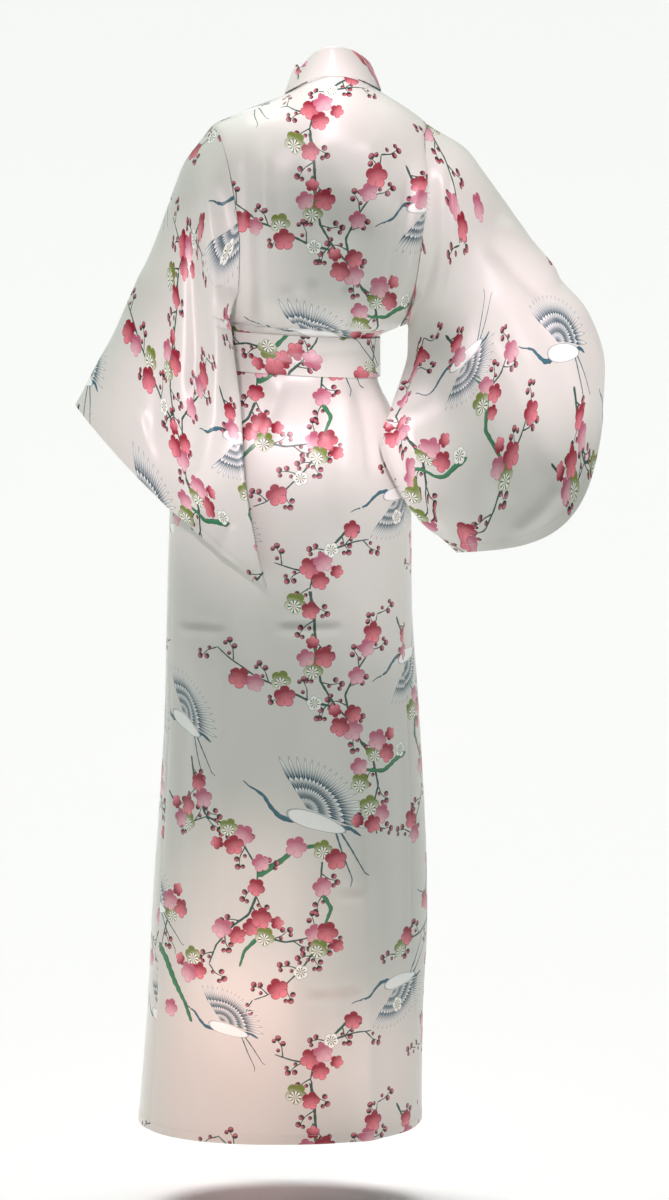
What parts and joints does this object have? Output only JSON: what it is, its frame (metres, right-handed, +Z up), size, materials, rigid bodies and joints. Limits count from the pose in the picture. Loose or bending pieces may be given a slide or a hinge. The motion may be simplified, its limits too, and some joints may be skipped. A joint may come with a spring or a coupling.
{
  "type": "silk kimono robe",
  "caption": "Long silk kimono robe with wide sleeves, a standing collar band and its tied sash, in its worn shape.",
  "frame": {"origin": "middle of the neck opening, level with the nape, where the wearer's shoulders carry the robe", "axes": "+Z up along the wearer's spine, -Y the way the wearer faces, +X to the wearer's left"},
  "size_m": [0.6888, 0.3148, 1.4107],
  "materials": {
    "robe_silk": "satin weave, printed",
    "sash_silk": "satin weave, printed"
  },
  "bodies": {
    "root": {"back_panel": "robe_silk", "left_front": "robe_silk", "right_front": "robe_silk", "left_sleeve": "robe_silk", "right_sleeve": "robe_silk", "neck_band": "robe_silk", "sash": "sash_silk", "sash_knot": "sash_silk", "sash_end_left": "sash_silk", "sash_end_right": "sash_silk"}
  },
  "joints": []
}
